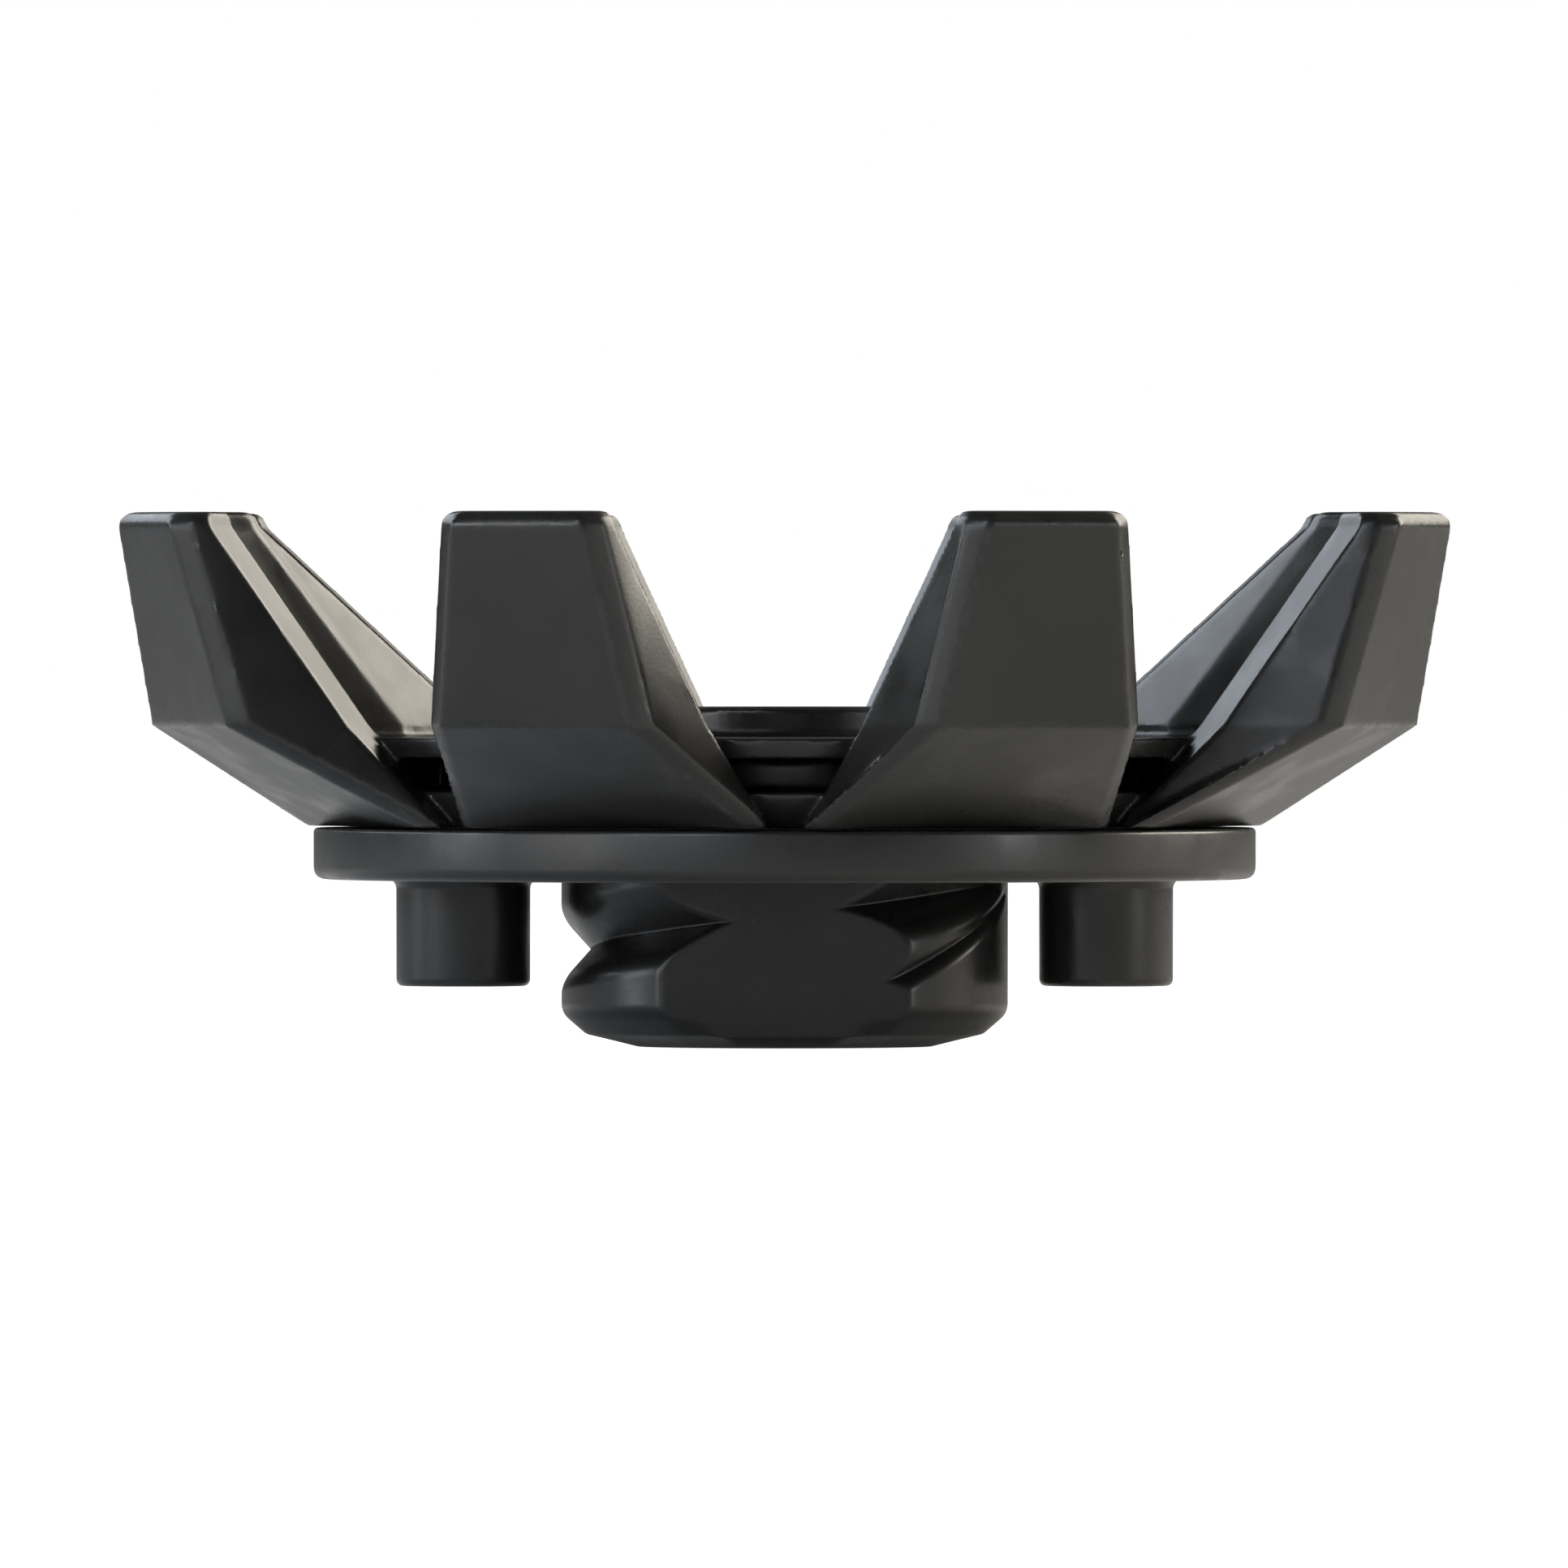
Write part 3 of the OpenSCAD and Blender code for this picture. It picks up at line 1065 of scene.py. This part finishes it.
def build_insert(sizes, material):
    """Brass sleeve, knurled outside and threaded inside."""
    steps = 208
    low, high = INSERT_LOW[2], INSERT_HIGH[2]
    mouth_r = sizes.insert_minor_r + INSERT_LEAD_IN + 0.1 * MM
    end_r = sizes.insert_r - INSERT_END_STEP
    knurled_len = high - low - 2 * INSERT_END_BAND
    threaded_len = high - low - 2 * INSERT_LEAD_IN
    outer_rows = 60
    inner_rows = 96
    rows = [("plain", mouth_r, low), ("plain", end_r, low)]
    for k in range(outer_rows + 1):
        rows.append(("outer", 0.0, low + INSERT_END_BAND + knurled_len * k / outer_rows))
    rows += [("plain", end_r, high), ("plain", mouth_r, high)]
    for k in range(inner_rows + 1):
        rows.append(("inner", 0.0, high - INSERT_LEAD_IN - threaded_len * k / inner_rows))
    bm = bmesh.new()
    rings = []
    for kind, r, z in rows:
        ring = []
        for k in range(steps):
            angle = 2 * math.pi * k / steps
            here = r
            if kind == "outer":
                here = insert_outer_radius(sizes, angle, z)
            if kind == "inner":
                here = insert_inner_radius(sizes, angle, z)
            ring.append((here * math.cos(angle), here * math.sin(angle), z))
        rings.append(ring)
    loft(bm, rings, closed=True)
    obj = new_piece("brass_insert", bm, CROWN_BODY, ["thread_insert"], material)
    mark_edges(obj, 0.15 * MM)


# ---------------------------------------------------------------- stage


# Middle of the nut, which the lights face
MIDDLE = Vector((0.0, 0.0, 0.006))

WHITE = (1.0, 1.0, 1.0)
COOL = (0.84, 0.91, 1.0)
WARM = (1.0, 0.94, 0.82)

# Name, direction from the nut, distance, width and height, brightness and colour
SOFTBOXES = (
    ("right_softbox", (0.81, 0.34, 0.44), 0.5, (0.34, 0.36), 8.0, WARM),
    ("right_back_card", (0.46, 0.78, 0.40), 0.5, (0.26, 0.22), 2.8, WARM),
    ("left_softbox", (-0.78, 0.34, 0.52), 0.5, (0.30, 0.32), 4.0, COOL),
    ("left_back_card", (-0.46, 0.78, 0.40), 0.5, (0.26, 0.22), 2.0, COOL),
    ("left_strip", (-0.99, -0.10, 0.12), 0.5, (0.12, 0.3), 5.5, COOL),
    ("left_front_window", (-0.46, -0.85, 0.34), 0.6, (0.30, 0.30), 3.2, COOL),
    ("left_front_card", (-0.78, -0.60, 0.12), 0.6, (0.24, 0.16), 4.0, WHITE),
    ("right_front_card", (0.84, -0.54, 0.10), 0.6, (0.20, 0.14), 4.0, WHITE),
)

# Floor: half its width, its gap under the nut, its greys, and where the painted
# shade behind the nut starts and ends. That grey is painted shade standing for
# the backdrop's shadow, and it darkens what the nut's faces reflect
FLOOR_REACH = 6.0
FLOOR_GAP = 0.02 * MM
PAPER_DARK = (0.80, 0.80, 0.80)
PAPER_LIGHT = (0.86, 0.86, 0.86)
# painted shade: floor grey behind the nut, standing for the backdrop's shadow in the nut's reflections
PAINTED_SHADE_BEHIND = (0.32, 0.32, 0.32)
PAINTED_SHADE_FROM = 15 * MM
PAINTED_SHADE_TO = 70 * MM
FLOOR_GLOW = 0.06
FLOOR_GLOW_SEEN = 0.92

# World light: overhead, and the band low down before and behind the nut
OVERHEAD_LEVEL = 0.05
FRONT_LEVEL = 0.30
BACK_LEVEL = 0.16


def add_softbox(name, toward, distance, size, brightness, colour):
    """Area light in a given direction from the nut; brightness is its radiance."""
    light = bpy.data.lights.new(name, "AREA")
    light.shape = "RECTANGLE"
    light.size, light.size_y = size
    light.energy = brightness * math.pi * size[0] * size[1]
    light.color = colour
    obj = bpy.data.objects.new(name, light)
    obj.location = MIDDLE + Vector(toward).normalized() * distance
    obj.rotation_euler = (MIDDLE - obj.location).to_track_quat("-Z", "Y").to_euler()
    obj.visible_camera = False
    bpy.context.scene.collection.objects.link(obj)


def add_floor():
    """Pale paper with painted shade behind the nut, which a camera below it looks through."""
    bm = bmesh.new()
    bmesh.ops.create_grid(bm, x_segments=24, y_segments=24, size=FLOOR_REACH)
    mesh = bpy.data.meshes.new("floor")
    bm.to_mesh(mesh)
    bm.free()
    floor = bpy.data.objects.new("floor", mesh)
    floor.location = (0.0, 0.0, CAD_BOX[0][2] - FLOOR_GAP)
    bpy.context.scene.collection.objects.link(floor)
    material, tree, shader, place = shader_start("pale_paper_and_painted_shade")
    cloud = noise_node(tree, place, 3.0)
    paper = mix_colour(tree, cloud, PAPER_DARK, PAPER_LIGHT)
    split = tree.nodes.new("ShaderNodeSeparateXYZ")
    wire(tree, place, split.inputs[0])
    # painted shade: the floor turns grey behind the nut, standing for the backdrop's shadow in the
    # nut's reflections
    behind = spread(tree, split.outputs["Y"], PAINTED_SHADE_FROM, PAINTED_SHADE_TO)
    wire(tree, mix_colour(tree, behind, paper, PAINTED_SHADE_BEHIND), shader.inputs["Base Color"])
    shader.inputs["Roughness"].default_value = 0.9
    shader.inputs["Specular IOR Level"].default_value = 0.1
    ray = tree.nodes.new("ShaderNodeLightPath")
    seen = sums(tree, "MULTIPLY", ray.outputs["Is Camera Ray"], FLOOR_GLOW_SEEN)
    glow = sums(tree, "ADD", seen, FLOOR_GLOW)
    shader.inputs["Emission Color"].default_value = (*WHITE, 1.0)
    wire(tree, glow, shader.inputs["Emission Strength"])
    side = tree.nodes.new("ShaderNodeNewGeometry")
    under = sums(tree, "MULTIPLY", side.outputs["Backfacing"], ray.outputs["Is Camera Ray"])
    wire(tree, sums(tree, "SUBTRACT", 1.0, under), shader.inputs["Alpha"])
    mesh.materials.append(material)


def add_world():
    """White to the eye; as light, dim over and before the nut, and brighter low behind it."""
    world = bpy.data.worlds.new("studio")
    bpy.context.scene.world = world
    world.use_nodes = True
    tree = world.node_tree
    tree.nodes.clear()
    out = tree.nodes.new("ShaderNodeOutputWorld")
    place = tree.nodes.new("ShaderNodeTexCoord")
    split = tree.nodes.new("ShaderNodeSeparateXYZ")
    wire(tree, place.outputs["Generated"], split.inputs[0])
    back = spread(tree, split.outputs["Y"], -0.6, 0.6, FRONT_LEVEL, BACK_LEVEL)
    low = spread(tree, split.outputs["Z"], 0.06, 0.26, 1.0, 0.0)
    level = sums(tree, "ADD", sums(tree, "MULTIPLY", back, low), OVERHEAD_LEVEL)
    studio = tree.nodes.new("ShaderNodeBackground")
    wire(tree, level, studio.inputs["Strength"])
    studio.inputs["Color"].default_value = (*WHITE, 1.0)
    white = tree.nodes.new("ShaderNodeBackground")
    white.inputs["Color"].default_value = (*WHITE, 1.0)
    white.inputs["Strength"].default_value = 1.0
    ray = tree.nodes.new("ShaderNodeLightPath")
    mix = tree.nodes.new("ShaderNodeMixShader")
    wire(tree, ray.outputs["Is Camera Ray"], mix.inputs[0])
    wire(tree, studio.outputs[0], mix.inputs[1])
    wire(tree, white.outputs[0], mix.inputs[2])
    wire(tree, mix.outputs[0], out.inputs["Surface"])


def add_camera():
    """Level view straight at the nut's side, from far enough to flatten perspective."""
    frame_width = 70.25 * MM
    distance = 1.3
    elevation = math.radians(0.35)
    aim = Vector((-0.03 * MM, 0.0, 4.25 * MM))
    data = bpy.data.cameras.new("camera")
    data.sensor_width = 36.0
    data.lens = data.sensor_width * distance / frame_width
    data.clip_start = 0.01
    data.clip_end = 50.0
    camera = bpy.data.objects.new("camera", data)
    camera.location = aim + distance * Vector((0.0, -math.cos(elevation), math.sin(elevation)))
    camera.rotation_euler = (aim - camera.location).to_track_quat("-Z", "Y").to_euler()
    bpy.context.scene.collection.objects.link(camera)
    bpy.context.scene.camera = camera


def build_stage():
    """Floor, world, camera and lights."""
    add_floor()
    add_world()
    add_camera()
    for softbox in SOFTBOXES:
        add_softbox(*softbox)
    bpy.context.scene.view_settings.view_transform = "Standard"


# ---------------------------------------------------------------- operators


def settings():
    return bpy.context.scene.wing_nut


class WINGNUT_OT_crown(bpy.types.Operator):
    """Build the crown of wings"""

    bl_idname = "wingnut.crown"
    bl_label = "Crown"

    def execute(self, context):
        finish = settings().finish
        material = moulded_plastic("crown_black", finish.crown, 0.36, 5200.0, GRAIN_DEPTH)
        build_crown(settings().crown, material)
        return {"FINISHED"}


class WINGNUT_OT_plate(bpy.types.Operator):
    """Build the plate with its two pegs"""

    bl_idname = "wingnut.plate"
    bl_label = "Peg Plate"

    def execute(self, context):
        finish = settings().finish
        material = moulded_plastic("plate_black", finish.plate, 0.36, 4600.0, GRAIN_DEPTH)
        build_plate(settings().plate, material)
        return {"FINISHED"}


class WINGNUT_OT_washer(bpy.types.Operator):
    """Build the thin washer between the crown and the plate"""

    bl_idname = "wingnut.washer"
    bl_label = "Thrust Washer"

    def execute(self, context):
        build_washer(natural_plastic("washer_natural", settings().finish.washer))
        return {"FINISHED"}


class WINGNUT_OT_neck(bpy.types.Operator):
    """Build the threaded neck"""

    bl_idname = "wingnut.neck"
    bl_label = "Threaded Neck"

    def execute(self, context):
        finish = settings().finish
        material = moulded_plastic("neck_black", finish.neck, 0.33, 3800.0, FINE_GRAIN_DEPTH)
        build_neck(settings().neck, material)
        return {"FINISHED"}


class WINGNUT_OT_insert(bpy.types.Operator):
    """Build the brass thread insert"""

    bl_idname = "wingnut.insert"
    bl_label = "Thread Insert"

    def execute(self, context):
        build_insert(settings().neck, turned_brass("insert_brass", settings().finish.brass))
        return {"FINISHED"}


class WINGNUT_OT_stage(bpy.types.Operator):
    """Build the floor, the lights and the camera"""

    bl_idname = "wingnut.stage"
    bl_label = "Stage"

    def execute(self, context):
        build_stage()
        return {"FINISHED"}


class WINGNUT_PT_panel(bpy.types.Panel):
    """Lists the pieces of the wing nut."""

    bl_idname = "WINGNUT_PT_panel"
    bl_label = "Wing Nut"
    bl_space_type = "VIEW_3D"
    bl_region_type = "UI"
    bl_category = "Wing Nut"

    def draw(self, context):
        for operator in OPERATORS:
            self.layout.operator(operator.bl_idname)


OPERATORS = (
    WINGNUT_OT_stage,
    WINGNUT_OT_crown,
    WINGNUT_OT_plate,
    WINGNUT_OT_washer,
    WINGNUT_OT_neck,
    WINGNUT_OT_insert,
)
CLASSES = (
    CrownSettings,
    PlateSettings,
    NeckSettings,
    FinishSettings,
    WingNutSettings,
    *OPERATORS,
    WINGNUT_PT_panel,
)


def register():
    for cls in CLASSES:
        bpy.utils.register_class(cls)
    bpy.types.Scene.wing_nut = PointerProperty(type=WingNutSettings)


def unregister():
    del bpy.types.Scene.wing_nut
    for cls in reversed(CLASSES):
        bpy.utils.unregister_class(cls)


def main():
    register()
    bpy.ops.wingnut.stage()
    bpy.ops.wingnut.crown()
    bpy.ops.wingnut.plate()
    bpy.ops.wingnut.washer()
    bpy.ops.wingnut.neck()
    bpy.ops.wingnut.insert()


if __name__ == "__main__":
    main()
